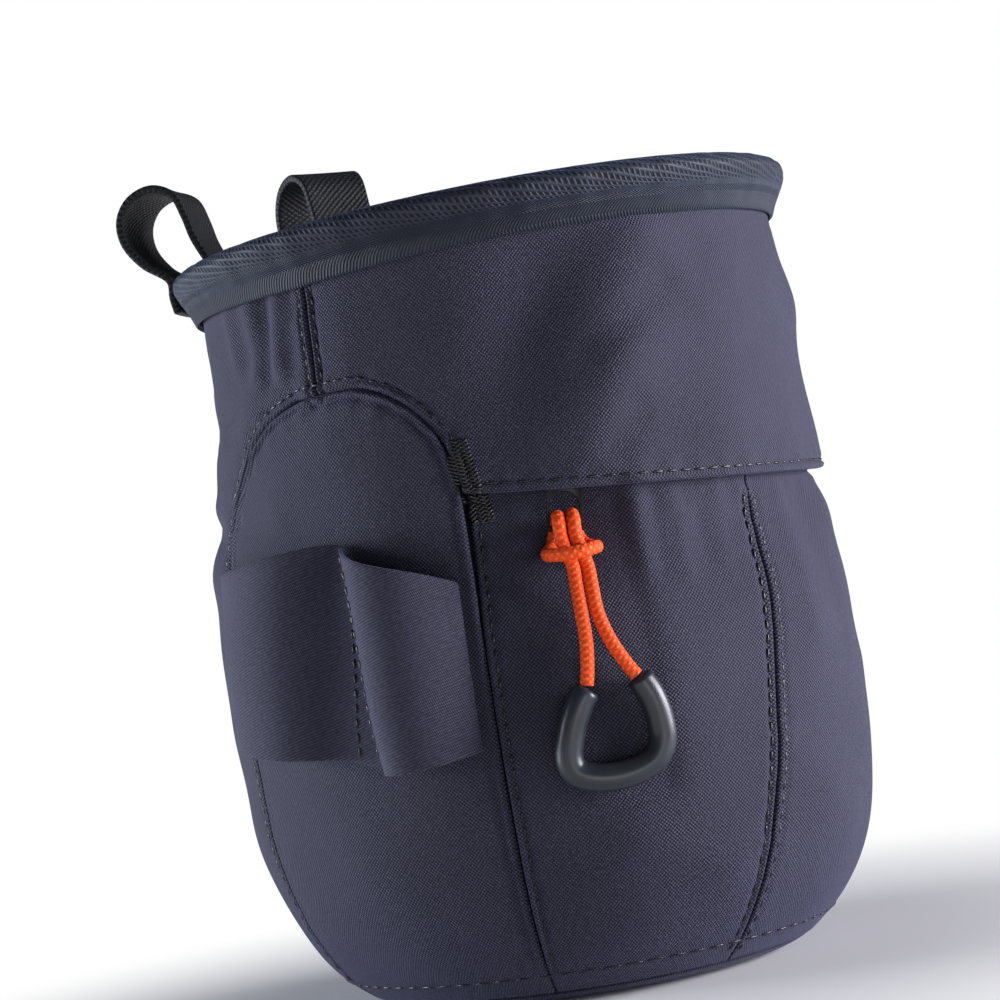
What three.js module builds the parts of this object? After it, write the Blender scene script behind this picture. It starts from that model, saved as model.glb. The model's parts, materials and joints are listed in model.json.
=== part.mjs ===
// A climbing chalk bag: a round cloth bag with a bound rim, arched side panels, a zipped front pocket
// under a flap, a pair of open tool sleeves on its left side and two belt loops behind.
// Millimetres, +Z up. The origin is the centre of the flat base and the pocket faces -Y.
import * as THREE from 'three';

// The bag's own sizes
const bagHeight = 152.2;
const rimDiameter = 125.2;
const rimRise = 2.4;
const rimRiseAngle = 60;
const rimRiseFade = 3;
const bodyDiameter = 124;
const baseDiameter = 72;
const cornerHeight = 41;
const clothThickness = 1.4;
const gap = 0.3;
const seamGap = 0.5;
const dentFade = 12;

// The binding over the rim
const bindingHeight = 10.4;
const bindingThickness = 7.9;
const bindingSlotDepth = 6.6;
const bindingSlotGap = 0.4;

// The base seam and the arched side panels, with angles counted from the front to the right
const baseSeamHeight = 2.6;
const floorThickness = 1.3;
const sideSeamAngle = 87.3;
const archFrontAngle = 61.4;
const archBackAngle = 119.5;
const archTop = 119.6;
const archShoulder = 96.3;
const archBlendAngle = 4;

// The front pocket under its flap
const hemHeight = 91.5;
const hemLowAngle = 14;
const flapOverlap = 9;
const centreSeamTopAngle = -4.2;
const centreSeamDrift = -14.6;
const pocketFade = 30;
const pocketFadeRight = 13;
const pocketEdgeAngle = 16;
const knotHollowSpread = 9;
const knotHollowReach = 9.5;
const knotHollowRise = 1.5;
const knotHollowClearance = 1.3;
const pocketBulge = 0.7;
const backWallThickness = 1;
const backWallTop = 125;
const backWallClearance = 1.1;
const zipTapeHeight = 8;
const zipTapeThickness = 1;
const zipTapeAngle = 56;

// The zip's slider, its pull tab, and the handle on its cord
const sliderAngle = -42.4;
const sliderWidth = 7;
const sliderHeight = 7.5;
const sliderThickness = 1.8;
const sliderClearance = 0.8;
const tabWidth = 6.6;
const tabHeight = 17;
const tabThickness = 0.9;
const tabSideBar = 0.55;
const tabEndBar = 1.1;
const tabCorner = 0.8;
const tabHoleHeight = 6.4;
const tabLean = 8.8;
const tabBelowHem = 7.6;
const tabClearance = 0.45;
const cordDiameter = 2.5;
const handleDiameter = 5.1;
const handleStandoff = 0.5;
const handleReach = 44.2;

// The tool sleeves on the left side panel
const sleeveTop = 91.5;
const sleeveBottom = 50;
const sleeveThickness = 1.2;
const sleeveBulge = 8.6;
const sleeveFrontInset = 2.9;

// The belt loops behind the rim
const webbingWidth = 15.5;
const webbingThickness = 1.6;
const loopAngleLeft = 154.5;
const loopAngleRight = 158.5;
const loopHeightLeft = 22.2;
const loopHeightRight = 25;
const loopDepth = 18.4;

const bodyRadius = bodyDiameter / 2;
const rimRadius = rimDiameter / 2;
const baseRadius = baseDiameter / 2;
const radians = THREE.MathUtils.degToRad;

// Side outline above the rounded base corner. Heights are shares of the bag's height and radii are
// shares of the body's radius.
const outline = [
  { height: 0.27, radius: 1.0 },
  { height: 0.36, radius: 1.016 },
  { height: 0.49, radius: 1.006 },
  { height: 0.585, radius: 0.99 },
  { height: 0.665, radius: 0.972 },
  { height: 0.73, radius: 0.953 },
  { height: 0.83, radius: 0.945 },
  { height: 0.92, radius: 0.932 },
  { height: 1.0, radius: 0.93 },
];

// Half the arch, from its top down to its shoulder. Rise is a share of the arch's rise, back and front
// are shares of the angle from the side seam to the arch's back and front foot.
const arch = [
  { rise: 1.0, back: 0.18, front: 0.34 },
  { rise: 0.91, back: 0.4, front: 0.54 },
  { rise: 0.74, back: 0.61, front: 0.735 },
  { rise: 0.48, back: 0.8, front: 0.9 },
  { rise: 0.24, back: 0.92, front: 0.965 },
  { rise: 0.0, back: 1.0, front: 1.0 },
];

// Soft dents. Angles are in degrees, heights are shares of the bag's height, depths are shares of the
// cloth's thickness (negative swells outward), spread is in degrees and reach is a share of the height.
const dents = [
  { angle: -104, height: 0.88, depth: 1.3, spread: 7, reach: 0.03 },
  { angle: -88, height: 0.87, depth: 0.6, spread: 4, reach: 0.04 },
  { angle: -134, height: 0.785, depth: 0.9, spread: 12, reach: 0.03 },
  { angle: -134, height: 0.718, depth: 1.1, spread: 12, reach: 0.03 },
  { angle: -136, height: 0.9, depth: -0.8, spread: 10, reach: 0.03 },
  { angle: -134, height: 0.49, depth: -1.0, spread: 22, reach: 0.16 },
  { angle: 32, height: 0.92, depth: 0.6, spread: 8, reach: 0.02 },
  { angle: 20, height: 0.83, depth: -0.9, spread: 14, reach: 0.05 },
  { angle: -30, height: 0.76, depth: -0.8, spread: 16, reach: 0.06 },
  { angle: 32, height: 0.41, depth: 1.5, spread: 14, reach: 0.085 },
  { angle: 120, height: 0.7, depth: 1.2, spread: 14, reach: 0.07 },
  { angle: 180, height: 0.6, depth: 1.0, spread: 20, reach: 0.12 },
];

// Heights of the cloth's rows above the arch and below its shoulder, as shares of those two stretches
const rowsAbove = [0.34, 0.7, 1.0];
const rowsBelow = [0.0, 0.035, 0.09, 0.17, 0.27, 0.38, 0.53, 0.7, 0.86];

// Columns of cloth between the back centre, the arch's back foot, the side seam, its front foot and the
// front centre, on the left. The right side has the same ones mirrored.
const columnCounts = { back: 8, archBack: 4, archFront: 4, front: 11 };

function interpolate(table, key, value, at) {
  const up = table[0][key] < table[table.length - 1][key];
  const rows = up ? table : [...table].reverse();
  if (at <= rows[0][key]) return rows[0][value];
  for (let i = 1; i < rows.length; i++) {
    if (at > rows[i][key]) continue;
    const share = (at - rows[i - 1][key]) / (rows[i][key] - rows[i - 1][key]);
    return THREE.MathUtils.lerp(rows[i - 1][value], rows[i][value], share);
  }
  return rows[rows.length - 1][value];
}

function smooth(from, to, at) {
  return THREE.MathUtils.smoothstep(at, Math.min(from, to), Math.max(from, to));
}

// Radius of the plain outline at a height: a rounded corner at the base, then the table
function outlineRadius(height) {
  const shoulderRadius = outline[0].radius * bodyRadius;
  if (height >= cornerHeight) return bodyRadius * interpolate(outline, 'height', 'radius', height / bagHeight);
  const down = (cornerHeight - Math.max(height, 0)) / cornerHeight;
  return baseRadius + (shoulderRadius - baseRadius) * Math.sqrt(1 - down * down);
}

// How far the dents sink the cloth at an angle and height
function dentDepth(angle, height) {
  let depth = 0;
  for (const dent of dents) {
    const away = ((angle - dent.angle + 540) % 360) - 180;
    const aside = away / dent.spread;
    const above = (height / bagHeight - dent.height) / dent.reach;
    depth += dent.depth * clothThickness * Math.exp(-aside * aside - above * above);
  }
  const bindingFoot = bagHeight - bindingHeight;
  return depth * (1 - smooth(bindingFoot - dentFade, bindingFoot, height)) * smooth(0, cornerHeight, height);
}

// A point of the bag: an angle from the front, a height, and a depth below the outer skin, measured
// square to the outline. The rim rises a little towards one side.
function bagPoint(angle, height, depth) {
  const step = 0.5;
  const slope = (outlineRadius(height + step) - outlineRadius(height)) / step;
  const length = Math.hypot(1, slope);
  const sunk = depth + dentDepth(angle, height);
  const radius = outlineRadius(height) - sunk / length;
  const level = height + (sunk * slope) / length;
  return ringPoint(angle, radius, level);
}

function lifted(angle, height) {
  const share = height / bagHeight;
  return height + rimRise * Math.cos(radians(angle - rimRiseAngle)) * share ** rimRiseFade;
}

function ringPoint(angle, radius, height) {
  const turn = radians(angle);
  return new THREE.Vector3(radius * Math.sin(turn), -radius * Math.cos(turn), lifted(angle, height));
}

// A closed sheet of cloth over a grid of columns and rows. Keep says which cells it has, and place gives
// each grid point on its outer (0) or inner (1) face.
function clothSolid({ columns, rows, wraps = false, keep, place }) {
  const positions = [];
  const faces = [];
  const numbers = new Map();
  const lines = wraps ? columns : columns + 1;
  const kept = (i, j) => {
    if (j < 0 || j >= rows) return false;
    if (wraps) return keep((i + columns) % columns, j);
    return i >= 0 && i < columns && keep(i, j);
  };
  const point = (i, j, face) => {
    const line = i % lines;
    const name = `${line},${j},${face}`;
    if (!numbers.has(name)) {
      numbers.set(name, positions.length / 3);
      positions.push(...place(line, j, face).toArray());
    }
    return numbers.get(name);
  };
  const quad = (a, b, c, d) => faces.push(a, b, c, a, c, d);
  for (let j = 0; j < rows; j++) {
    for (let i = 0; i < columns; i++) {
      if (!kept(i, j)) continue;
      const outer = [point(i, j, 0), point(i + 1, j, 0), point(i + 1, j + 1, 0), point(i, j + 1, 0)];
      const inner = [point(i, j, 1), point(i + 1, j, 1), point(i + 1, j + 1, 1), point(i, j + 1, 1)];
      quad(...outer);
      quad(inner[3], inner[2], inner[1], inner[0]);
      if (!kept(i - 1, j)) quad(inner[0], outer[0], outer[3], inner[3]);
      if (!kept(i + 1, j)) quad(outer[1], inner[1], inner[2], outer[2]);
      if (!kept(i, j - 1)) quad(inner[0], inner[1], outer[1], outer[0]);
      if (!kept(i, j + 1)) quad(outer[3], outer[2], inner[2], inner[3]);
    }
  }
  const geometry = new THREE.BufferGeometry();
  geometry.setAttribute('position', new THREE.Float32BufferAttribute(positions, 3));
  geometry.setIndex(faces);
  return geometry;
}

// The grid that the body's panels share: its columns follow the arches and its rows the hem
const panelTop = bagHeight - bindingHeight + bindingSlotDepth - gap;
const rowHeights = [
  ...rowsBelow.map((share) => baseSeamHeight + share * (archShoulder - baseSeamHeight)),
  ...[...arch].reverse().map((row) => archShoulder + row.rise * (archTop - archShoulder)),
  ...rowsAbove.map((share) => archTop + share * (panelTop - archTop)),
];
const hemRow = rowsBelow.length;
const archTopRow = hemRow + arch.length - 1;
const panelRows = rowHeights.length - 1;

const backFootColumn = columnCounts.back;
const sideSeamColumn = backFootColumn + columnCounts.archBack;
const frontFootColumn = sideSeamColumn + columnCounts.archFront;
const frontCentreColumn = frontFootColumn + columnCounts.front;
const panelColumns = 2 * frontCentreColumn;

function archAngles(height) {
  const rise = Math.min(Math.max((height - archShoulder) / (archTop - archShoulder), 0), 1);
  return {
    back: sideSeamAngle + interpolate(arch, 'rise', 'back', rise) * (archBackAngle - sideSeamAngle),
    front: sideSeamAngle - interpolate(arch, 'rise', 'front', rise) * (sideSeamAngle - archFrontAngle),
  };
}

function columnAngle(column, height) {
  if (column > frontCentreColumn) return -columnAngle(panelColumns - column, height);
  const foot = archAngles(height);
  const stops = [
    { column: 0, angle: -180 },
    { column: backFootColumn, angle: -foot.back },
    { column: sideSeamColumn, angle: -sideSeamAngle },
    { column: frontFootColumn, angle: -foot.front },
    { column: frontCentreColumn, angle: 0 },
  ];
  return interpolate(stops, 'column', 'angle', column);
}

// The flap's hem hangs lowest near the middle and ends on the arches' shoulders
function hemLevel(angle) {
  const share = Math.min(Math.abs(angle - hemLowAngle) / (archFrontAngle + hemLowAngle), 1);
  return THREE.MathUtils.lerp(hemHeight, archShoulder, share * share);
}

function rowLevel(row, angle) {
  const height = rowHeights[row];
  const nearHem = 1 - smooth(0, archTop - archShoulder, Math.abs(height - archShoulder));
  const inFront = 1 - smooth(archFrontAngle - archBlendAngle, archFrontAngle + archBlendAngle, Math.abs(angle));
  return height + (hemLevel(angle) - archShoulder) * nearHem * inFront;
}

// A panel of the body: some cells of the shared grid, drawn back from its neighbours by half the seam gap
function bodyPanel(keep) {
  const has = (i, j) => j < 0 || j >= panelRows || keep((i + panelColumns) % panelColumns, j);
  const place = (column, row, face) => {
    const height = rowHeights[row];
    const angle = columnAngle(column, height);
    let aside = 0;
    let above = 0;
    for (const [side, end] of [[-1, -1], [-1, 0], [0, -1], [0, 0]]) {
      const cellRow = Math.min(Math.max(row + end, 0), panelRows - 1);
      if (has(column + side, cellRow)) continue;
      aside += side === 0 ? -1 : 1;
      above += end === 0 ? -1 : 1;
    }
    if (row === 0 || row === panelRows) above = 0;
    const shift = THREE.MathUtils.radToDeg((Math.sign(aside) * seamGap) / 2 / bodyRadius);
    const level = rowLevel(row, angle) + (Math.sign(above) * seamGap) / 2;
    return bagPoint(angle + shift, level, face * clothThickness);
  };
  return clothSolid({ columns: panelColumns, rows: panelRows, wraps: true, keep, place });
}

const mirrored = (column) => Math.min(column, panelColumns - 1 - column);

function frontYoke() {
  return bodyPanel((column, row) => {
    const i = mirrored(column);
    return row >= archTopRow ? i >= sideSeamColumn : row >= hemRow && i >= frontFootColumn;
  });
}

function backPanel() {
  return bodyPanel((column, row) => {
    const i = mirrored(column);
    return row >= archTopRow ? i < sideSeamColumn : i < backFootColumn;
  });
}

function sidePanel(left) {
  return bodyPanel((column, row) => {
    const i = mirrored(column);
    return row < archTopRow && i >= backFootColumn && i < frontFootColumn && (column === i) === left;
  });
}

// The pocket's front lies under the flap at the hem and comes out to the bag's own outline below it
const underFlap = clothThickness + tabThickness + 2 * tabClearance;
const pocketTop = hemHeight + flapOverlap;
const tabFoot = hemLevel(sliderAngle) - tabBelowHem;
const tabShift = tabHeight * Math.sin(radians(tabLean));
const knotAngle = sliderAngle - THREE.MathUtils.radToDeg(tabShift / bodyRadius);

function pocketDepth(angle, height) {
  const fade = THREE.MathUtils.lerp(pocketFade, pocketFadeRight, smooth(knotAngle / 2, -knotAngle / 2, angle));
  const under = smooth(-fade, -tabBelowHem, height - hemLevel(angle));
  const swell = Math.sin(Math.PI * Math.min(height / hemHeight, 1)) * pocketBulge;
  const inside = 1 - smooth(archFrontAngle - pocketEdgeAngle, archFrontAngle, Math.abs(angle));
  const aside = (angle - knotAngle) / knotHollowSpread;
  const above = (height - tabFoot - knotHollowRise) / knotHollowReach;
  const hollow = (cordDiameter + 2 * knotHollowClearance) * Math.exp(-aside * aside - above * above);
  return under * underFlap - swell * inside * (1 - under) + hollow;
}

function centreSeamAngle(height) {
  return centreSeamTopAngle + centreSeamDrift * Math.max(1 - height / hemHeight, 0);
}

const pocketRows = 12;
const pocketColumns = 12;
const pocketRowCrowding = 1.25;

function pocketLevel(row, angle) {
  const share = row / pocketRows;
  const top = pocketTop + hemLevel(angle) - hemHeight;
  return THREE.MathUtils.lerp(baseSeamHeight, top, share ** pocketRowCrowding);
}

function pocketHalf(left) {
  const place = (column, row, face) => {
    const share = column / pocketColumns;
    const level = pocketLevel(row, left ? -archFrontAngle * (1 - share) : archFrontAngle * share);
    const inset = THREE.MathUtils.radToDeg(seamGap / 2 / bodyRadius);
    const seam = centreSeamAngle(level);
    const angle = left
      ? THREE.MathUtils.lerp(-archFrontAngle + inset, seam - inset, share)
      : THREE.MathUtils.lerp(seam + inset, archFrontAngle - inset, share);
    return bagPoint(angle, level, pocketDepth(angle, level) + face * clothThickness);
  };
  return clothSolid({ columns: pocketColumns, rows: pocketRows, keep: () => true, place });
}

// The wall behind the pocket follows its front, clears the zip and closes against the yoke above it
const zipDepth = clothThickness + sliderThickness + 2 * sliderClearance;
const backWallRows = 15;
const backWallColumns = 16;
const backWallFoot = cornerHeight / 4;
const backWallLap = 2;

function backWall() {
  const behindZip = zipDepth + zipTapeThickness + gap;
  const hemLift = archShoulder - hemHeight;
  const zipTop = pocketTop + zipTapeHeight + hemLift;
  const place = (column, row, face) => {
    const reach = archFrontAngle + backWallLap;
    const angle = THREE.MathUtils.lerp(-reach, reach, column / backWallColumns);
    const level = THREE.MathUtils.lerp(backWallFoot, backWallTop, row / backWallRows);
    const behindFront = Math.max(pocketDepth(angle, level), 0) + clothThickness + backWallClearance;
    const nearZip = smooth(hemHeight - pocketFade, hemHeight, level);
    const closed = smooth(zipTop + hemLift, backWallTop, level);
    const open = Math.max(behindFront, behindZip * nearZip);
    const depth = THREE.MathUtils.lerp(open, clothThickness + backWallClearance / 2, closed);
    return bagPoint(angle, level, depth + face * backWallThickness);
  };
  return clothSolid({ columns: backWallColumns, rows: backWallRows, keep: () => true, place });
}

const zipTapeColumns = 16;

function zipTape() {
  const place = (column, row, face) => {
    const angle = THREE.MathUtils.lerp(-zipTapeAngle, zipTapeAngle, column / zipTapeColumns);
    const foot = pocketTop + hemLevel(angle) - hemHeight + gap;
    return bagPoint(angle, foot + row * zipTapeHeight, zipDepth + face * zipTapeThickness);
  };
  return clothSolid({ columns: zipTapeColumns, rows: 1, keep: () => true, place });
}

// A flat piece drawn in its own plane, stood up on the bag with its face outward and leaning with it
function standOnBag(geometry, angle, height, depth, reach) {
  const place = bagPoint(angle, height, depth);
  const lean = Math.atan((outlineRadius(height) - outlineRadius(height + reach)) / reach);
  geometry.rotateX(Math.PI / 2 - lean);
  geometry.rotateZ(radians(angle));
  geometry.translate(place.x, place.y, place.z);
  return geometry;
}

const sliderHeightOnBag = pocketTop + hemLevel(sliderAngle) - hemHeight + gap + sliderHeight / 2;

const sliderDepth = clothThickness + sliderClearance + sliderThickness / 2;

function zipSlider() {
  const slider = new THREE.BoxGeometry(sliderWidth, sliderHeight, sliderThickness);
  return standOnBag(slider, sliderAngle, sliderHeightOnBag, sliderDepth, sliderHeight / 2);
}

// The pull tab hangs from the slider past the hem, with a round-topped eye for the cord
const tabDepth = clothThickness + tabClearance + tabThickness / 2;
const tabTipRise = (tabWidth / 2) * Math.sin(radians(tabLean));
const tabTop = Math.min(tabFoot + tabHeight, sliderHeightOnBag - sliderHeight / 2 - gap - tabTipRise);

function pullTab() {
  const half = tabWidth / 2;
  const top = tabTop - tabFoot;
  const eye = half - tabSideBar;
  const eyeShoulder = tabEndBar + tabHoleHeight - eye;
  const shape = new THREE.Shape();
  shape.moveTo(-half, top);
  shape.lineTo(-half, tabCorner);
  shape.quadraticCurveTo(-half, 0, -half + tabCorner, 0);
  shape.lineTo(half - tabCorner, 0);
  shape.quadraticCurveTo(half, 0, half, tabCorner);
  shape.lineTo(half, top);
  const hole = new THREE.Path();
  hole.moveTo(eye, tabEndBar);
  hole.lineTo(-eye, tabEndBar);
  hole.absarc(0, eyeShoulder, eye, Math.PI, 0, true);
  shape.holes.push(hole);
  const settings = { depth: tabThickness, bevelEnabled: false, curveSegments: 6 };
  const tab = new THREE.ExtrudeGeometry(shape, settings);
  tab.translate(0, 0, -tabThickness / 2);
  tab.translate(0, -top, 0);
  tab.rotateZ(radians(-tabLean));
  tab.translate(0, top, 0);
  return standOnBag(tab, sliderAngle, tabFoot, tabDepth, top);
}

// The cord's route from the handle's left socket, up under the knot's turn and over the tab's end bar
// into its eye, round behind and across the front as the turn, and back down to the right socket.
// Angle is in degrees from the knot's, height and out are cord diameters from the tab's foot and middle.
const cordRoute = [
  { angle: -1.2, height: -11.12, out: 3.0 },
  { angle: -0.7, height: -10.0, out: 2.95 },
  { angle: -0.15, height: -8.0, out: 2.75 },
  { angle: -0.06, height: -5.9, out: 2.3 },
  { angle: 0.0, height: -3.85, out: 1.75 },
  { angle: 0.05, height: -2.5, out: 1.3 },
  { angle: -0.6, height: -1.4, out: 1.12 },
  { angle: -1.1, height: -0.3, out: 1.12 },
  { angle: -1.05, height: 0.7, out: 0.95 },
  { angle: -0.85, height: 1.2, out: 0.05 },
  { angle: -1.2, height: 0.5, out: -0.9 },
  { angle: -2.3, height: -0.8, out: -0.9 },
  { angle: -3.6, height: -1.35, out: 0.05 },
  { angle: -3.1, height: -1.5, out: 1.4 },
  { angle: -1.0, height: -1.6, out: 2.25 },
  { angle: 1.8, height: -1.55, out: 2.4 },
  { angle: 4.2, height: -1.4, out: 1.6 },
  { angle: 4.5, height: -1.35, out: 0.05 },
  { angle: 3.2, height: -0.8, out: -0.9 },
  { angle: 2.0, height: 0.5, out: -0.9 },
  { angle: 1.7, height: 1.2, out: 0.05 },
  { angle: 1.5, height: 0.7, out: 0.95 },
  { angle: 1.4, height: -0.3, out: 1.12 },
  { angle: 1.9, height: -1.4, out: 1.12 },
  { angle: 2.5, height: -2.6, out: 1.2 },
  { angle: 2.45, height: -3.95, out: 1.75 },
  { angle: 2.5, height: -6.1, out: 2.3 },
  { angle: 3.7, height: -8.25, out: 2.75 },
  { angle: 5.85, height: -10.3, out: 2.95 },
  { angle: 6.75, height: -10.93, out: 3.0 },
];

const cordSides = 8;
const cordSteps = 60;

function pullCord() {
  const tabMiddle = bagPoint(sliderAngle, tabFoot, tabDepth);
  const tabRadius = Math.hypot(tabMiddle.x, tabMiddle.y);
  const points = cordRoute.map((row) =>
    ringPoint(
      knotAngle + row.angle,
      tabRadius + row.out * cordDiameter,
      tabFoot + row.height * cordDiameter,
    ));
  return roundBar(points, cordDiameter, cordSides, cordSteps);
}

// The handle's middle line, from its left socket round to its right one, lying on the pocket. Angle is
// in degrees from the knot's and drop is a share of the handle's reach below the tab's foot.
const handleRoute = [
  { angle: -1.2, drop: 0.648 },
  { angle: -2.8, drop: 0.705 },
  { angle: -4.6, drop: 0.8 },
  { angle: -5.5, drop: 0.902 },
  { angle: -4.9, drop: 0.957 },
  { angle: -2.0, drop: 0.995 },
  { angle: 3.4, drop: 1.0 },
  { angle: 7.9, drop: 0.954 },
  { angle: 9.4, drop: 0.885 },
  { angle: 9.4, drop: 0.792 },
  { angle: 8.5, drop: 0.706 },
  { angle: 7.1, drop: 0.628 },
];

const handleSides = 10;
const handleSteps = 36;

function pullHandle() {
  const out = handleDiameter / 2 + handleStandoff;
  const points = handleRoute.map((row) => {
    const angle = knotAngle + row.angle;
    const level = tabFoot - row.drop * handleReach;
    return bagPoint(angle, level, pocketDepth(angle, level) - out);
  });
  return roundBar(points, handleDiameter, handleSides, handleSteps);
}

// The sleeves are one cloth, sewn down at both arch seams and along the two sides of a narrow wedge, and
// swollen into two open channels between. Top and bottom are shares of the side panel's angle from its
// back foot, rise and drop are shares of the sleeves' height for the upper and lower edge, and out is a
// share of the bulge.
const sleeveSections = [
  { top: 0.0, bottom: 0.0, rise: 0.96, drop: 0.18, out: 0.0 },
  { top: 0.05, bottom: 0.045, rise: 0.95, drop: 0.17, out: 0.2 },
  { top: 0.13, bottom: 0.12, rise: 0.94, drop: 0.15, out: 0.55 },
  { top: 0.23, bottom: 0.21, rise: 0.94, drop: 0.125, out: 0.88 },
  { top: 0.34, bottom: 0.3, rise: 0.955, drop: 0.11, out: 0.95 },
  { top: 0.45, bottom: 0.4, rise: 0.975, drop: 0.09, out: 0.84 },
  { top: 0.54, bottom: 0.48, rise: 0.995, drop: 0.07, out: 0.46 },
  { top: 0.6, bottom: 0.536, rise: 1.0, drop: 0.05, out: 0.0 },
  { top: 0.625, bottom: 0.687, rise: 0.985, drop: -0.02, out: 0.0 },
  { top: 0.665, bottom: 0.71, rise: 0.95, drop: -0.03, out: 0.4 },
  { top: 0.72, bottom: 0.75, rise: 0.905, drop: -0.03, out: 0.85 },
  { top: 0.79, bottom: 0.81, rise: 0.86, drop: -0.025, out: 1.0 },
  { top: 0.87, bottom: 0.88, rise: 0.82, drop: -0.02, out: 0.9 },
  { top: 0.94, bottom: 0.945, rise: 0.78, drop: -0.01, out: 0.5 },
  { top: 1.0, bottom: 1.0, rise: 0.74, drop: 0.0, out: 0.0 },
];
const sleeveRows = 6;

function toolSleeves() {
  const sleeveHeight = sleeveTop - sleeveBottom;
  const place = (column, row, face) => {
    const section = sleeveSections[column];
    const up = row / sleeveRows;
    const across = THREE.MathUtils.lerp(section.bottom, section.top, up);
    const level = sleeveBottom + sleeveHeight * THREE.MathUtils.lerp(section.drop, section.rise, up);
    const foot = archAngles(level);
    const backEdge = THREE.MathUtils.radToDeg(seamGap / bodyRadius);
    const frontEdge = THREE.MathUtils.radToDeg(sleeveFrontInset / bodyRadius);
    const angle = THREE.MathUtils.lerp(-foot.back + backEdge, -foot.front - frontEdge, across);
    const out = gap + sleeveBulge * section.out + (1 - face) * sleeveThickness;
    return bagPoint(angle, level, -out);
  };
  const columns = sleeveSections.length - 1;
  return clothSolid({ columns, rows: sleeveRows, keep: () => true, place });
}

// Section of the binding, counter-clockwise from the foot of its outer leg. Out is a share of its
// thickness from its inner face, up is a share of its height.
const bindingSection = [
  { out: 0.54, up: 0.0 },
  { out: 0.66, up: 0.28 },
  { out: 0.88, up: 0.56 },
  { out: 1.0, up: 0.77 },
  { out: 0.88, up: 0.94 },
  { out: 0.62, up: 1.0 },
  { out: 0.3, up: 0.99 },
  { out: 0.07, up: 0.87 },
  { out: 0.0, up: 0.66 },
  { out: 0.06, up: 0.32 },
  { out: 0.12, up: 0.0 },
];
const ringSides = 60;

// A ring round the bag's axis from a closed section of radii and heights
function ring(section) {
  const points = [...section, section[0]].map((point) => new THREE.Vector2(point.radius, point.height));
  const geometry = new THREE.LatheGeometry(points, ringSides);
  geometry.rotateX(Math.PI / 2);
  const position = geometry.attributes.position;
  for (let i = 0; i < position.count; i++) {
    const angle = THREE.MathUtils.radToDeg(Math.atan2(position.getX(i), -position.getY(i)));
    position.setZ(i, lifted(angle, position.getZ(i)));
  }
  return geometry;
}

function rimBinding() {
  const foot = bagHeight - bindingHeight;
  const panelRadius = outlineRadius(bagHeight);
  const face = bindingSection.map((row) => ({
    radius: rimRadius - bindingThickness * (1 - row.out),
    height: foot + bindingHeight * row.up,
  }));
  const slotInner = panelRadius - clothThickness - bindingSlotGap;
  const slotOuter = panelRadius + bindingSlotGap;
  const slotTop = foot + bindingSlotDepth;
  const slot = [
    { radius: slotInner, height: foot },
    { radius: slotInner, height: slotTop },
    { radius: slotOuter, height: slotTop },
    { radius: slotOuter, height: foot },
  ];
  return ring([...face, ...slot]);
}

// The base is flat underneath and turns up at its edge to meet the panels
function basePanel() {
  const edgeSteps = 3;
  const edge = [];
  for (let i = 0; i <= edgeSteps; i++) {
    const height = ((baseSeamHeight - seamGap) * i) / edgeSteps;
    edge.push({ radius: outlineRadius(height), height });
  }
  const inside = [...edge].reverse().map((point) => ({
    radius: Math.max(point.radius - clothThickness, 0),
    height: point.height + floorThickness,
  }));
  const points = [{ radius: 0, height: 0 }, ...edge, ...inside, { radius: 0, height: floorThickness }];
  return ring(points);
}

// Middle line of a belt loop, from its outer end up over the rim to its inner end. Out and up are shares
// of the loop's depth and height, from the rim's outer edge and its top.
const loopRoute = [
  { out: 0.05, up: -0.27 },
  { out: 0.08, up: -0.12 },
  { out: 0.085, up: 0.05 },
  { out: 0.36, up: 0.25 },
  { out: 0.53, up: 0.48 },
  { out: 0.54, up: 0.7 },
  { out: 0.4, up: 0.88 },
  { out: 0.14, up: 0.955 },
  { out: -0.09, up: 0.86 },
  { out: -0.19, up: 0.64 },
  { out: -0.25, up: 0.43 },
  { out: -0.36, up: 0.21 },
  { out: -0.5, up: -0.02 },
  { out: -0.515, up: -0.22 },
  { out: -0.48, up: -0.5 },
  { out: -0.41, up: -0.75 },
];
const loopColumns = 2;
const loopRowsEach = 2;

function beltLoop(loopAngle, loopHeight) {
  const middle = loopRoute.map((row) => new THREE.Vector2(
    rimRadius + row.out * loopDepth,
    bagHeight + row.up * loopHeight,
  ));
  const route = new THREE.SplineCurve(middle);
  const rows = (loopRoute.length - 1) * loopRowsEach;
  const place = (column, row, face) => {
    const along = row / rows;
    const point = route.getPoint(along);
    const ahead = route.getTangent(along);
    const aside = (column / loopColumns - 0.5) * webbingWidth;
    const away = (0.5 - face) * webbingThickness;
    const radius = point.x + ahead.y * away;
    const height = point.y - ahead.x * away;
    const spread = THREE.MathUtils.radToDeg(aside / rimRadius);
    return ringPoint(loopAngle + spread, radius, height);
  };
  return clothSolid({ columns: loopColumns, rows, keep: () => true, place });
}

// A round bar along a smooth route through some points
function roundBar(points, diameter, sides, steps) {
  const section = new THREE.Shape();
  for (let i = 0; i < sides; i++) {
    const turn = (i / sides) * 2 * Math.PI;
    const x = (Math.cos(turn) * diameter) / 2;
    const y = (Math.sin(turn) * diameter) / 2;
    if (i === 0) section.moveTo(x, y);
    else section.lineTo(x, y);
  }
  section.closePath();
  const route = new THREE.CatmullRomCurve3(points, false, 'centripetal');
  return new THREE.ExtrudeGeometry(section, { steps, extrudePath: route, bevelEnabled: false });
}

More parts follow.
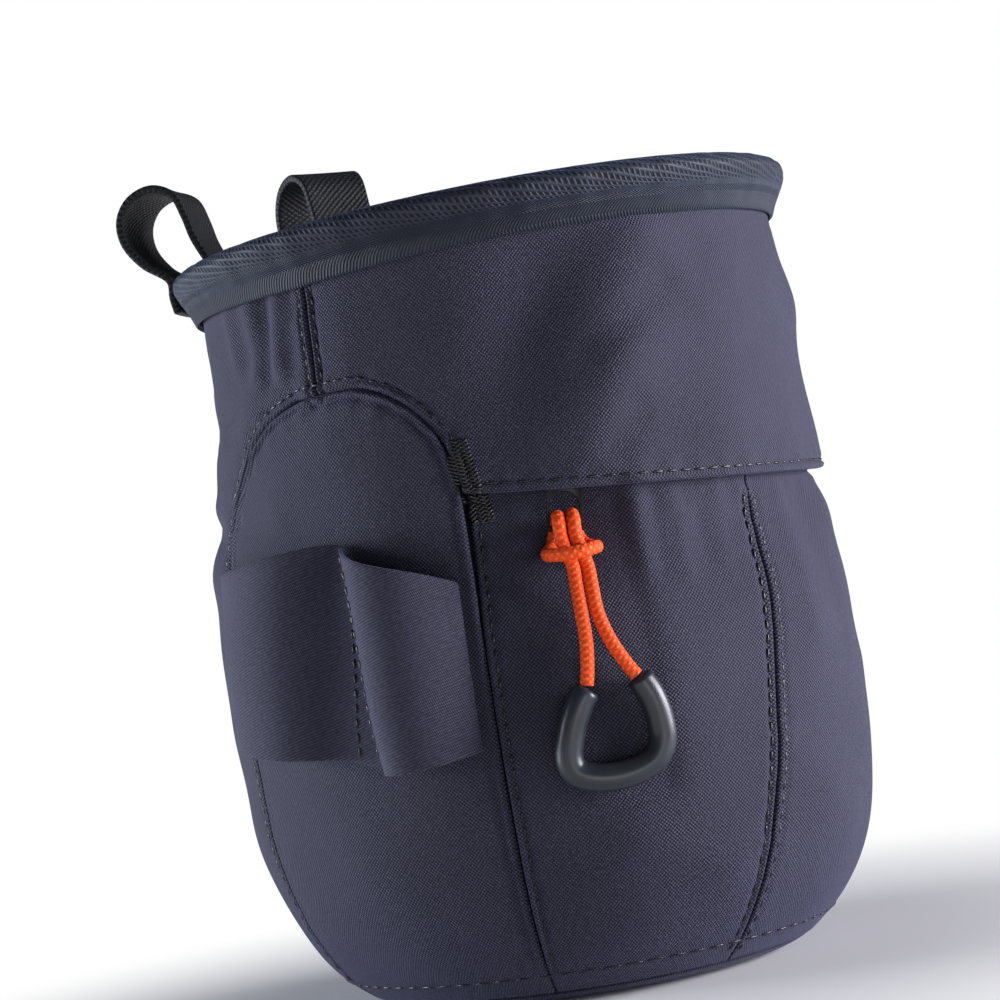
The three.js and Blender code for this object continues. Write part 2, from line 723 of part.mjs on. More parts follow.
const material = (color, roughness, metalness = 0) =>
  new THREE.MeshStandardMaterial({ color, roughness, metalness });
const finishes = {
  cloth: material(0x34344a, 0.85),
  sleeve: material(0x3c3d54, 0.9),
  binding: material(0x2e3744, 0.8),
  webbing: material(0x1d2024, 0.9),
  zip: material(0x141416, 0.7),
  tab: material(0x17181a, 0.4, 0.8),
  cord: material(0xf4551f, 0.8),
  handle: material(0x333a41, 0.5),
};

const bag = new THREE.Group();

function add(name, geometry, finish) {
  const mesh = new THREE.Mesh(geometry, finishes[finish]);
  mesh.name = name;
  bag.add(mesh);
}

add('front_yoke', frontYoke(), 'cloth');
add('back_panel', backPanel(), 'cloth');
add('side_panel_left', sidePanel(true), 'cloth');
add('side_panel_right', sidePanel(false), 'cloth');
add('pocket_front_left', pocketHalf(true), 'cloth');
add('pocket_front_right', pocketHalf(false), 'cloth');
add('pocket_back_wall', backWall(), 'cloth');
add('zip_tape', zipTape(), 'zip');
add('zip_slider', zipSlider(), 'zip');
add('pull_tab', pullTab(), 'tab');
add('pull_cord', pullCord(), 'cord');
add('pull_handle', pullHandle(), 'handle');
add('tool_sleeves', toolSleeves(), 'sleeve');
add('rim_binding', rimBinding(), 'binding');
add('base_panel', basePanel(), 'cloth');
add('belt_loop_left', beltLoop(-loopAngleLeft, loopHeightLeft), 'webbing');
add('belt_loop_right', beltLoop(loopAngleRight, loopHeightRight), 'webbing');

export default bag;
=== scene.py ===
"""A climbing chalk bag: round, dark and soft, with a bound rim, a zipped pocket under a flap, two tool
sleeves on its left side and two belt loops behind, standing on a white floor."""

import math

import bpy
import numpy as np
from mathutils import Matrix, Vector
from mathutils.bvhtree import BVHTree
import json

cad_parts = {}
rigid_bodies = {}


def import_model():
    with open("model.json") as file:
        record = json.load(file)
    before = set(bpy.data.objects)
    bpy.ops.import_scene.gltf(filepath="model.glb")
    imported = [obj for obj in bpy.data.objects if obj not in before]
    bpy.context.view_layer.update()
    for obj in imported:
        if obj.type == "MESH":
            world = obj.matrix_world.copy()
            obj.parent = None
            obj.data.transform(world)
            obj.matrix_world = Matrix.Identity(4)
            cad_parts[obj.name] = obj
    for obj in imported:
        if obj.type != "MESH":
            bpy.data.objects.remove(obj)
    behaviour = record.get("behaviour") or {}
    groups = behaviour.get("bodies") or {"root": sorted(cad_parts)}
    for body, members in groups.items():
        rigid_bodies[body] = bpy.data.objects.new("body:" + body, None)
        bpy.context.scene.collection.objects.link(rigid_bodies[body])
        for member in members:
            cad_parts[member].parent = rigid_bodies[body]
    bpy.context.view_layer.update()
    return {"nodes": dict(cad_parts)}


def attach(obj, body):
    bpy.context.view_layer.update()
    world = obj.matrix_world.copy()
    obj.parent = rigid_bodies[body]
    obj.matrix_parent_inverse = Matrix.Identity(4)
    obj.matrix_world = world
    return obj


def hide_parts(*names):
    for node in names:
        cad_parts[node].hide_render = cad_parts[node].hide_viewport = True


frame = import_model()
nodes = frame["nodes"]
scene = bpy.context.scene

# ---------------------------------------------------------------- camera
# The lens stands level with the middle of the bag, at its left front, and is held crooked, so the bag
# leans to the left in the picture as it does in the photo.
camera_azimuth = math.radians(-51.5)
camera_distance = 0.56
camera_height = 0.075
camera_roll = math.radians(-9)

bpy.ops.object.select_all(action="DESELECT")
bpy.ops.object.camera_add(location=(
    camera_distance * math.sin(camera_azimuth),
    -camera_distance * math.cos(camera_azimuth),
    camera_height,
))
camera = bpy.context.active_object
camera.name = "camera"
level = Matrix.Rotation(camera_azimuth, 4, "Z") @ Matrix.Rotation(math.pi / 2, 4, "X")
camera.rotation_euler = (level @ Matrix.Rotation(camera_roll, 4, "Z")).to_euler()
camera.data.lens = 99.94
camera.data.shift_x = -0.0369
camera.data.shift_y = 0.1011
camera.data.clip_start = 0.01
camera.data.dof.use_dof = False
scene.camera = camera
scene.view_settings.view_transform = "Standard"

# ---------------------------------------------------------------- pull cord
# A limp braided cord, 2.5 mm thick, tied through the tab's eye in a lark's head knot, with its two ends
# going into the sockets of the handle. It follows the cord of the CAD model. Polyester sheath, bright
# orange with small olive flecks.
cord_diameter = 0.0025
cord_step = 0.00025
strand_pitch = 0.0012
strands_round = 4
# where the middle of the cord runs, in mm, from the handle up round the tab's eye and back
cord_route = [
    (-48.02, -46.37, 58.75), (-47.53, -46.7, 61.54), (-46.72, -46.8, 66.53), (-45.85, -46.07, 71.77),
    (-44.84, -45.15, 76.88), (-44.01, -44.39, 80.25), (-44.19, -43.57, 82.98), (-44.56, -43.18, 85.72),
    (-44.22, -42.92, 88.21), (-42.46, -41.51, 89.45), (-41.01, -39.6, 87.71), (-41.76, -38.8, 84.46),
    (-44.41, -39.42, 83.09), (-46.56, -42.07, 82.72), (-46.51, -45.23, 82.48), (-44.51, -47.72, 82.62),
    (-41.17, -48.02, 83.01), (-38.41, -45.28, 83.14), (-37.85, -42.62, 84.5), (-38.73, -41.82, 87.73),
    (-40.57, -43.35, 89.47), (-42.27, -44.85, 88.23), (-42.64, -45.08, 85.74), (-42.24, -45.45, 83.0),
    (-41.9, -46.04, 80.01), (-42.87, -47.02, 76.64), (-43.75, -48.08, 71.28), (-43.47, -49.83, 65.92),
    (-41.89, -51.81, 60.81), (-41.15, -52.56, 59.24),
]


def run_of(line):
    """How far along a line each of its points is."""
    return np.concatenate([[0], np.cumsum(np.linalg.norm(np.diff(line, axis=0), axis=1))])


def smooth_line(points, step):
    """A curve through points given in millimetres, as points in metres with equal steps of that length."""
    cuts = 24
    points = [Vector(p) / 1000 for p in points]
    ends = [points[0] * 2 - points[1], *points, points[-1] * 2 - points[-2]]
    line = []
    for a, b, c, d in zip(ends, ends[1:], ends[2:], ends[3:]):
        t1 = (b - a).length ** 0.5
        t2 = t1 + (c - b).length ** 0.5
        t3 = t2 + (d - c).length ** 0.5
        for i in range(cuts):
            t = t1 + (t2 - t1) * i / cuts
            p = a.lerp(b, t / t1)
            q = b.lerp(c, (t - t1) / (t2 - t1))
            r = c.lerp(d, (t - t2) / (t3 - t2))
            p, q = p.lerp(q, t / t2), q.lerp(r, (t - t1) / (t3 - t1))
            line.append(p.lerp(q, (t - t1) / (t2 - t1)))
    line.append(points[-1])
    line = np.array(line)
    along = run_of(line)
    even = np.linspace(0, along[-1], max(int(round(along[-1] / step)), 2) + 1)
    return np.stack([np.interp(even, along, line[:, k]) for k in range(3)], 1)


def tube(name, line, radii, sides):
    """A round tube with closed ends along a line. Its UV map has the length and the girth in metres."""
    bpy.ops.object.select_all(action="DESELECT")
    bpy.ops.mesh.primitive_cylinder_add(vertices=sides, radius=1, depth=2, end_fill_type="NGON")
    piece = bpy.context.active_object
    piece.name = piece.data.name = name
    # rings of points that turn no more than the line does
    ahead = np.gradient(line, axis=0)
    ahead /= np.linalg.norm(ahead, axis=1)[:, None]
    side = np.cross(ahead[0], (0.3, 0.2, 0.9))
    rings = []
    for place, way, radius in zip(line, ahead, radii):
        side = side - way * np.dot(side, way)
        side /= np.linalg.norm(side)
        up = np.cross(way, side)
        turn = np.linspace(0, 2 * np.pi, sides, endpoint=False)
        rings.append(place + radius * (np.cos(turn)[:, None] * side + np.sin(turn)[:, None] * up))
    points = np.concatenate(rings)
    faces = [
        (k * sides + i, k * sides + (i + 1) % sides, (k + 1) * sides + (i + 1) % sides, (k + 1) * sides + i)
        for k in range(len(line) - 1) for i in range(sides)
    ]
    last = (len(line) - 1) * sides
    faces += [tuple(range(sides - 1, -1, -1)), tuple(range(last, last + sides))]
    piece.data.clear_geometry()
    piece.data.from_pydata(points.tolist(), [], faces)
    along = run_of(line)
    girth = 2 * np.pi * max(radii) / sides
    layer = piece.data.uv_layers.new(name="length_and_girth")
    uvs = [
        uv for k in range(len(line) - 1) for i in range(sides)
        for uv in ((along[k], i * girth), (along[k], (i + 1) * girth),
                   (along[k + 1], (i + 1) * girth), (along[k + 1], i * girth))
    ] + [(0.0, 0.0)] * sides * 2
    layer.data.foreach_set("uv", np.array(uvs, np.float32).ravel())
    bpy.ops.object.shade_smooth_by_angle(angle=math.radians(50))
    return piece


def colour(text):
    """The linear colour of an sRGB hex code."""
    parts = [int(text[i:i + 2], 16) / 255 for i in (1, 3, 5)]
    return (*[c / 12.92 if c <= 0.04045 else ((c + 0.055) / 1.055) ** 2.4 for c in parts], 1.0)


def add(tree, kind, inputs=(), **settings):
    """Adds a node with settings, and values or links for its inputs."""
    node = tree.nodes.new(kind)
    for key, value in settings.items():
        setattr(node, key, value)
    for key, value in dict(inputs).items():
        if isinstance(value, bpy.types.NodeSocket):
            tree.links.new(value, node.inputs[key])
        else:
            node.inputs[key].default_value = value
    return node


def new_material(name):
    """A material with nothing in its node tree but the output."""
    material = bpy.data.materials.new(name)
    material.use_nodes = True
    tree = material.node_tree
    tree.nodes.clear()
    return material, tree


# braided polyester: two sets of slanting strands, with an olive fleck on about one crossing in fourteen
material, tree = new_material("braided_polyester_orange")
place = add(tree, "ShaderNodeUVMap", uv_map="length_and_girth")
parts = add(tree, "ShaderNodeSeparateXYZ", {0: place.outputs[0]})
along = add(tree, "ShaderNodeMath", {0: parts.outputs[0], 1: 1 / strand_pitch}, operation="MULTIPLY")
around = add(tree, "ShaderNodeMath", {0: parts.outputs[1], 1: strands_round / (math.pi * cord_diameter)},
             operation="MULTIPLY")
first = add(tree, "ShaderNodeMath", {0: along.outputs[0], 1: around.outputs[0]}, operation="ADD")
second = add(tree, "ShaderNodeMath", {0: along.outputs[0], 1: around.outputs[0]}, operation="SUBTRACT")
first_wave = add(tree, "ShaderNodeMath", {0: first.outputs[0], 1: 0.5}, operation="PINGPONG")
second_wave = add(tree, "ShaderNodeMath", {0: second.outputs[0], 1: 0.5}, operation="PINGPONG")
strands = add(tree, "ShaderNodeMath", {0: first_wave.outputs[0], 1: second_wave.outputs[0]},
              operation="MULTIPLY")
relief = add(tree, "ShaderNodeMapRange", {0: strands.outputs[0], 1: 0.0, 2: 0.2, 3: 0.0, 4: 1.0})
fleck_cell = add(tree, "ShaderNodeCombineXYZ", {0: first.outputs[0], 1: second.outputs[0]})
fleck_noise = add(tree, "ShaderNodeTexWhiteNoise", noise_dimensions="2D")
fleck_floor = add(tree, "ShaderNodeVectorMath", {0: fleck_cell.outputs[0]}, operation="FLOOR")
tree.links.new(fleck_floor.outputs[0], fleck_noise.inputs["Vector"])
fleck = add(tree, "ShaderNodeMath", {0: fleck_noise.outputs[0], 1: 0.93}, operation="GREATER_THAN")
fleck_soft = add(tree, "ShaderNodeMath", {0: fleck.outputs[0], 1: relief.outputs[0]}, operation="MULTIPLY")
fleck_mix = add(tree, "ShaderNodeMath", {0: fleck_soft.outputs[0], 1: 0.4}, operation="MULTIPLY")
# painted highlight on the strands' tops and painted shade in the grooves between them, over the orange of the
# cord
thread_tone_and_painted_light = add(tree, "ShaderNodeMix", {0: relief.outputs[0], 6: colour("#e5420e"), 7: colour("#ff6c2a")},
              data_type="RGBA")
flecked = add(tree, "ShaderNodeMix", {0: fleck_mix.outputs[0], 6: thread_tone_and_painted_light.outputs[2], 7: colour("#b08a30")},
              data_type="RGBA")
bump = add(tree, "ShaderNodeBump", {"Height": relief.outputs[0], "Strength": 0.8, "Distance": 0.00022})
shine = add(tree, "ShaderNodeMapRange", {0: relief.outputs[0], 3: 0.75, 4: 0.5})
shader = add(tree, "ShaderNodeBsdfPrincipled", {
    "Base Color": flecked.outputs[2], "Roughness": shine.outputs[0], "Normal": bump.outputs[0],
    "Specular IOR Level": 0.3})
add(tree, "ShaderNodeOutputMaterial", {0: shader.outputs[0]})

cord_line = smooth_line(cord_route, cord_step)
cord_radii = np.full(len(cord_line), cord_diameter / 2)
cord = tube("braided_cord", cord_line, cord_radii, 24)
cord.data.materials.append(material)

# ---------------------------------------------------------------- pull handle
# A rounded triangle of satin rubber hose, 5.1 mm thick, moulded over the cord's two ends.
handle_diameter = 0.0051
handle_step = 0.0005
# each end narrows to this share of the thickness, over this length
end_share = 0.78
end_length = 0.0009
handle_route = [
    (-47.9, -46.25, 58.02), (-49.22, -44.94, 55.5), (-50.38, -43.18, 50.93), (-50.78, -42.15, 46.43),
    (-50.22, -42.59, 44.0), (-47.99, -45.06, 42.32), (-43.54, -49.38, 42.11), (-39.62, -52.76, 44.14),
    (-38.35, -53.96, 47.19), (-38.52, -54.19, 51.3), (-39.48, -53.74, 55.48), (-40.7, -52.65, 58.92),
]
handle_line = smooth_line(handle_route, handle_step)
from_end = np.minimum(np.arange(len(handle_line)), np.arange(len(handle_line))[::-1]) * handle_step
rounding = np.clip(from_end / end_length, 0, 1)
handle_radii = handle_diameter / 2 * (end_share + (1 - end_share) * np.sqrt(1 - (1 - rounding) ** 2))
handle = tube("rubber_handle", handle_line, handle_radii, 32)

# moulded rubber, satin, with a very fine grain and smears of chalk dust worn in
material, tree = new_material("moulded_rubber_slate")
place = add(tree, "ShaderNodeTexCoord")
grain = add(tree, "ShaderNodeTexNoise", {"Vector": place.outputs["Object"], "Scale": 2600.0, "Detail": 2.0})
smears = add(tree, "ShaderNodeTexNoise", {"Vector": place.outputs["Object"], "Scale": 160.0, "Detail": 4.0})
tone = add(tree, "ShaderNodeMix", {0: smears.outputs[0], 6: colour("#1c2027"), 7: colour("#2b3139")},
           data_type="RGBA")
shine = add(tree, "ShaderNodeMapRange", {0: smears.outputs[0], 1: 0.3, 2: 0.7, 3: 0.3, 4: 0.42})
bump = add(tree, "ShaderNodeBump", {"Height": grain.outputs[0], "Strength": 0.25, "Distance": 0.00004})
shader = add(tree, "ShaderNodeBsdfPrincipled", {
    "Base Color": tone.outputs[2], "Roughness": shine.outputs[0], "Normal": bump.outputs[0]})
add(tree, "ShaderNodeOutputMaterial", {0: shader.outputs[0]})
handle.data.materials.append(material)

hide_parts("pull_handle")
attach(handle, "root")
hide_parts("pull_cord")
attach(cord, "root")

# ---------------------------------------------------------------- body cloth
# Seven panels of one tightly woven, dark blue-grey nylon, 1.4 mm thick with its lining, sewn together. Each
# is its CAD panel, merged and subdivided, with the same folds and puckers given to all of them, so that
# neighbours still fit. Angles go round the bag from its front, to the right, in degrees.

# where the CAD model has its rim, its hem and its seams, in mm and degrees
cloth_radius = 62.0
bag_height = 152.2
rim_rise = 2.4
rim_rise_angle = 60
tape_edge = 144.5
hem_height = 91.5
hem_lowest_angle = 14
hem_reach = 75.4
centre_seam_angle = -4.2
centre_seam_lean = 14.6
arch_shoulder = 96.3
arch_top = 119.6
side_seam_angle = 87.3
arch_front_angle = 61.4
arch_back_angle = 119.5
# an arch's outline: the share of its rise, and how far it reaches back and to the front there
arch_table = [
    (0.0, 1.0, 1.0), (0.24, 0.92, 0.965), (0.48, 0.8, 0.9), (0.74, 0.61, 0.735), (0.91, 0.4, 0.54),
    (1.0, 0.18, 0.34),
]


def lifted(angle, height):
    """The height of a place on the tilted upper part of the bag, in mm."""
    return height + rim_rise * np.cos(np.radians(angle - rim_rise_angle)) * (height / bag_height) ** 3


def seam(points):
    """A line on the cloth, from angles and heights, as millimetres round the bag and up it."""
    points = np.array(points, float)
    return np.stack([np.radians(points[:, 0]) * cloth_radius, lifted(points[:, 0], points[:, 1])], 1)


def arch_angle(height, which):
    """The angle of an arch's back (1) or front (2) seam at a height."""
    rise = np.clip((height - arch_shoulder) / (arch_top - arch_shoulder), 0, 1)
    share = np.interp(rise, [row[0] for row in arch_table], [row[which] for row in arch_table])
    if which == 1:
        return side_seam_angle + share * (arch_back_angle - side_seam_angle)
    return side_seam_angle - share * (side_seam_angle - arch_front_angle)


low_heights = np.arange(6, arch_shoulder, 3.0)
arch_heights = np.concatenate([low_heights, np.linspace(arch_shoulder, arch_top, 22)])
seams = {}
for side, sign in (("left", -1), ("right", 1)):
    up_front = [(sign * arch_angle(h, 2), h) for h in arch_heights]
    down_back = [(sign * arch_angle(h, 1), h) for h in arch_heights[::-1]]
    over = [(sign * a, arch_top + 0.3) for a in np.linspace(80.5, 91.5, 5)]
    seams[f"arch_{side}"] = seam(up_front + over + down_back)
    seams[f"side_seam_{side}"] = seam([(sign * side_seam_angle, h) for h in np.arange(arch_top, 143, 2.0)])
hem_angles = np.arange(-61, 61.1, 2.0)
hem_share = np.minimum(np.abs(hem_angles - hem_lowest_angle) / hem_reach, 1)
seams["hem"] = seam(np.stack([hem_angles, hem_height + (arch_shoulder - hem_height) * hem_share ** 2], 1))
centre_heights = np.arange(4, 91, 3.0)
seams["centre"] = seam([
    (centre_seam_angle - centre_seam_lean * max(1 - h / hem_height, 0), h) for h in centre_heights])


def distance_to(line, around, up):
    """How far places on the cloth are from a line, and where along it the nearest point is, in mm."""
    best = np.full(around.shape, 1e9)
    where = np.zeros(around.shape)
    run = 0.0
    for a, b in zip(line, line[1:]):
        step = b - a
        length = math.hypot(*step)
        t = np.clip(((around - a[0]) * step[0] + (up - a[1]) * step[1]) / length ** 2, 0, 1)
        gap = np.hypot(around - a[0] - t * step[0], up - a[1] - t * step[1])
        nearer = gap < best
        best = np.where(nearer, gap, best)
        where = np.where(nearer, run + t * length, where)
        run += length
    return best, where


# soft folds: start and end as angle and height, width and depth in mm; a furrow has a depth below 0
folds = [
    ((-112, 141), (-110, 128), 2.2, 0.7), ((-104, 141), (-103, 126), 2.4, 0.9),
    ((-99.5, 141), (-99.5, 124), 2.0, -1.1), ((-95, 141), (-96, 126), 2.2, 0.7),
    ((-91, 140), (-93, 120), 2.2, -0.6), ((-106, 122), (-92, 132), 5.0, 0.8),
    ((-118, 118), (-104, 128), 5.0, -0.9), ((-124, 108), (-112, 118), 6.0, 0.8),
    ((-132, 128), (-140, 134), 5.0, -1.2), ((-136, 104), (-148, 112), 6.0, 1.4),
    ((-128, 96), (-142, 100), 3.5, -1.5), ((-124, 88), (-140, 90), 5.0, 1.2),
    ((-60, 112), (-34, 136), 7.0, -0.9), ((-46, 104), (-20, 126), 7.0, 0.9),
    ((-36, 118), (-19, 129), 4.0, -0.8), ((-34, 100), (-29, 106), 3.5, -0.8),
    ((-10, 100), (0, 132), 9.0, 0.7), ((-22, 140), (-10, 126), 5.0, 0.7), ((8, 128), (20, 104), 8.0, -0.9),
    ((28, 136), (44, 102), 9.0, 0.9), ((58, 130), (74, 136), 6.0, -0.8), ((66, 112), (80, 124), 6.0, 0.8),
    ((-35.5, 91), (-36.5, 80), 1.7, -0.2), ((-31.5, 91), (-32, 78), 1.7, 0.25),
    ((-27.5, 91), (-28.5, 77), 1.8, -0.3), ((-22.5, 91), (-24, 76), 2.0, 0.3),
    ((-18.0, 91), (-19, 79), 1.8, -0.22), ((-13, 91), (-15, 77), 2.0, 0.2),
    ((-24, 138), (-36, 96), 9.0, 1.2), ((-34, 88), (-32, 40), 8.0, 0.7), ((-42, 136), (-52, 100), 9.0, -1.5),
    ((30, 138), (48, 134), 4.0, -1.4), ((28, 126), (50, 124), 5.0, 0.9), ((24, 85), (56, 83), 5.0, 0.9),
    ((-58, 84), (-48, 76), 2.4, 0.5), ((-58, 79), (-50, 71), 2.4, -0.45), ((-58, 73), (-51, 66), 2.6, 0.4),
    ((4, 88), (2, 62), 4.0, 0.6), ((12, 86), (14, 60), 4.5, -0.6), ((24, 88), (30, 56), 6.0, 0.8),
    ((40, 86), (46, 50), 6.0, -0.8), ((-40, 30), (-24, 22), 6.0, 0.7), ((-10, 40), (10, 26), 7.0, 0.8),
    ((-100, 100), (-86, 108), 5.0, 0.5), ((-108, 84), (-96, 94), 5.0, -0.5),
    ((128, 90), (150, 120), 9.0, 1.0), ((160, 60), (178, 96), 9.0, -1.0),
    ((-140, 60), (-150, 110), 10.0, 1.0), ((-170, 100), (-160, 132), 8.0, -0.8),
    ((140, 30), (170, 44), 8.0, 0.9), ((-160, 26), (-130, 40), 8.0, 0.9),
    ((88, 30), (92, 84), 8.0, 0.8), ((72, 40), (80, 70), 6.0, -0.7), ((104, 60), (112, 100), 6.0, 0.7),
]
# how far each seam moves the cloth beside it, at what distance and over what width, in mm: its allowance
# lifts the cloth, the rows of stitches pull it in, and the join is a furrow
seam_relief = [(0.3, 0.9, 0.6), (-0.42, 1.8, 0.6), (-0.55, 0.0, 0.5)]
# the same for the short puckers along the stitches, which come in two lengths
pucker_relief = 0.12, 2.6, 1.8
pucker_lengths = 6.4, 9.7
# the place behind the tab, the cord and the handle: angle, half its width, lowest and highest point
pull_place = -44.5, 9, 36, 98


def relief(angle, up):
    """How far the cloth stands out from its CAD panel at an angle and a height, in mm."""
    around = np.radians(angle) * cloth_radius
    # the cloth is nowhere quite even: broad waves, and finer ones across them
    out = 0.35 * np.sin(around / 11 + up / 17) * np.sin(up / 13 - around / 29)
    out += 0.2 * np.sin(around / 5.3 - up / 9.1 + 1.3) * np.sin(up / 6.7 + around / 17)
    for start, end, width, depth in folds:
        for turn in (0, 360):
            line = np.array([start, end], float)
            line[:, 0] = np.radians(line[:, 0] + turn) * cloth_radius
            out += depth * np.exp(-(distance_to(line, around, up)[0] / width) ** 2)
    for line in seams.values():
        gap, where = distance_to(line, around, up)
        for height, away, width in seam_relief:
            out += height * np.exp(-((gap - away) / width) ** 2)
        height, away, width = pucker_relief
        short, long = (where * 2 * math.pi / length for length in pucker_lengths)
        out += height * (np.sin(short) + 0.6 * np.sin(long + 1)) * np.exp(-((gap - away) / width) ** 2)
    # it stays put under the rim's tape and in the base seam
    out *= np.clip((tape_edge - up) / 5, 0, 1) * np.clip((up - 4) / 10, 0, 1)
    # it doesn't bulge where the pull hangs before it, and sinks less there
    middle, half_width, low, high = pull_place
    behind = np.exp(-np.clip(np.abs(angle - middle) - half_width, 0, None) ** 2 / 9)
    behind *= np.clip((up - low) / 4, 0, 1) * np.clip((high - up) / 4, 0, 1)
    return np.where(out > 0, out * (1 - behind), out * (1 - 0.4 * behind))


def soft_copy(node, name, levels, crease=0.7):
    """A copy of a CAD node, merged to one skin of quads and subdivided to a soft shape."""
    bpy.ops.object.select_all(action="DESELECT")
    nodes[node].select_set(True)
    bpy.context.view_layer.objects.active = nodes[node]
    bpy.ops.object.duplicate()
    piece = bpy.context.active_object
    piece.name = piece.data.name = name
    bpy.ops.object.parent_clear(type="CLEAR_KEEP_TRANSFORM")
    for key in list(piece.keys()):
        del piece[key]
    piece.data.materials.clear()
    bpy.ops.mesh.customdata_custom_splitnormals_clear()
    bpy.ops.object.mode_set(mode="EDIT")
    bpy.ops.mesh.select_mode(type="VERT")
    bpy.ops.mesh.select_all(action="SELECT")
    bpy.ops.mesh.remove_doubles(threshold=2e-6)
    bpy.ops.mesh.tris_convert_to_quads(face_threshold=math.radians(40), shape_threshold=math.radians(40))
    bpy.ops.mesh.normals_make_consistent(inside=False)
    bpy.ops.mesh.select_mode(type="EDGE")
    bpy.ops.mesh.select_all(action="DESELECT")
    bpy.ops.mesh.edges_select_sharp(sharpness=math.radians(50))
    bpy.ops.transform.edge_crease(value=crease)
    bpy.ops.object.mode_set(mode="OBJECT")
    finer = piece.modifiers.new("finer", "SUBSURF")
    finer.levels = finer.render_levels = levels
    finer.boundary_smooth = "PRESERVE_CORNERS"
    bpy.ops.object.modifier_apply(modifier=finer.name)
    bpy.ops.object.shade_smooth()
    return piece


def points_of(piece):
    """The points of a mesh, in metres."""
    points = np.empty(len(piece.data.vertices) * 3)
    piece.data.vertices.foreach_get("co", points)
    return points.reshape(-1, 3)


def move_points(piece, points):
    """Puts the points of a mesh elsewhere."""
    piece.data.vertices.foreach_set("co", points.ravel())
    piece.data.update()


def polar(points):
    """The angles of points round the bag, in degrees, and their distances from its axis."""
    return np.degrees(np.arctan2(points[:, 0], -points[:, 1])), np.hypot(points[:, 0], points[:, 1])


def crumple(piece):
    """Gives a piece of cloth the folds of the bag, straight out from its axis."""
    points = points_of(piece)
    angle, radius = polar(points)
    out = relief(angle, points[:, 2] * 1000) / 1000
    points[:, :2] *= ((radius + out) / radius)[:, None]
    move_points(piece, points)


def at_corners(mesh, turn):
    """For each corner of the faces its point and the angle given for it, with no jump inside a face."""
    corners = np.empty(len(mesh.loops), np.int32)
    mesh.loops.foreach_get("vertex_index", corners)
    starts = np.empty(len(mesh.polygons), np.int32)
    mesh.polygons.foreach_get("loop_start", starts)
    totals = np.empty(len(mesh.polygons), np.int32)
    mesh.polygons.foreach_get("loop_total", totals)
    turn = turn[corners]
    first = np.repeat(turn[starts], totals)
    return corners, first + (turn - first + np.pi) % (2 * np.pi) - np.pi


def unroll(piece):
    """A UV map with the way round the bag and the way up it, in metres."""
    mesh = piece.data
    points = points_of(piece)
    corners, angle = at_corners(mesh, np.arctan2(points[:, 0], -points[:, 1]))
    layer = mesh.uv_layers.new(name="cloth")
    uvs = np.stack([angle * cloth_radius / 1000, points[corners, 2]], 1)
    layer.data.foreach_set("uv", uvs.astype(np.float32).ravel())


def drifting(tree, place, scale, reach):
    """The UV map of a cloth with a little drift, because threads never run quite straight."""
    drift = add(tree, "ShaderNodeTexNoise", {"Vector": place.outputs[0], "Scale": scale, "Detail": 2.0})
    shift = add(tree, "ShaderNodeVectorMath", {0: drift.outputs[1], "Scale": reach}, operation="SCALE")
    return add(tree, "ShaderNodeVectorMath", {0: place.outputs[0], 1: shift.outputs[0]}, operation="ADD")


def thread_waves(tree, place, *ways):
    """A wave for each set of threads. Each way is the turns per metre along the UV map's two axes."""
    waves = []
    for way in ways:
        turns = add(tree, "ShaderNodeVectorMath", {
            0: place.outputs[0], 1: (way[0] * 2 * math.pi, way[1] * 2 * math.pi, 0)}, operation="DOT_PRODUCT")
        waves.append(add(tree, "ShaderNodeMath", {0: turns.outputs["Value"]}, operation="SINE"))
    return waves


def woven(name, dark, light, first_way, second_way, depth, roughness, sheen):
    """A cloth of two sets of threads, with ways as above. The depth is that of its bumps, in metres."""
    material, tree = new_material(name)
    place = add(tree, "ShaderNodeUVMap", uv_map="cloth")
    moved = drifting(tree, place, 90.0, 0.0006)
    waves = thread_waves(tree, moved, first_way, second_way)
    knots = add(tree, "ShaderNodeMath", {0: waves[0].outputs[0], 1: waves[1].outputs[0]},
                operation="MULTIPLY")
    height = add(tree, "ShaderNodeMapRange", {0: knots.outputs[0], 1: -0.7, 2: 0.9, 3: 0.0, 4: 1.0})
    slub = add(tree, "ShaderNodeTexNoise", {"Vector": place.outputs[0], "Scale": 1500.0, "Detail": 2.0})
    cloud = add(tree, "ShaderNodeTexNoise", {"Vector": place.outputs[0], "Scale": 45.0, "Detail": 3.0})
    uneven = add(tree, "ShaderNodeMapRange", {0: slub.outputs[0], 1: 0.3, 2: 0.7, 3: 0.55, 4: 1.25})
    dots = add(tree, "ShaderNodeMath", {0: height.outputs[0], 1: uneven.outputs[0]}, operation="MULTIPLY")
    # the knots are painted lighter, a painted highlight on each crossing, and the gaps between them darker, a
    # painted shade
    thread_tone_and_painted_light = add(tree, "ShaderNodeMix", {0: dots.outputs[0], 6: colour(dark), 7: colour(light)},
                  data_type="RGBA")
    worn = add(tree, "ShaderNodeMapRange", {0: cloud.outputs[0], 1: 0.3, 2: 0.7, 3: 0.88, 4: 1.1})
    tone = add(tree, "ShaderNodeVectorMath", {0: thread_tone_and_painted_light.outputs[2], "Scale": worn.outputs[0]},
               operation="SCALE")
    bump = add(tree, "ShaderNodeBump", {"Height": dots.outputs[0], "Strength": 0.7, "Distance": depth})
    shine = add(tree, "ShaderNodeMapRange", {0: dots.outputs[0], 3: roughness + 0.1, 4: roughness - 0.08})
    shader = add(tree, "ShaderNodeBsdfPrincipled", {
        "Base Color": tone.outputs[0], "Roughness": shine.outputs[0], "Normal": bump.outputs[0],
        "Specular IOR Level": 0.3, "Sheen Weight": sheen, "Sheen Roughness": 0.45,
        "Sheen Tint": colour("#a5a8d8")})
    add(tree, "ShaderNodeOutputMaterial", {0: shader.outputs[0]})
    return material


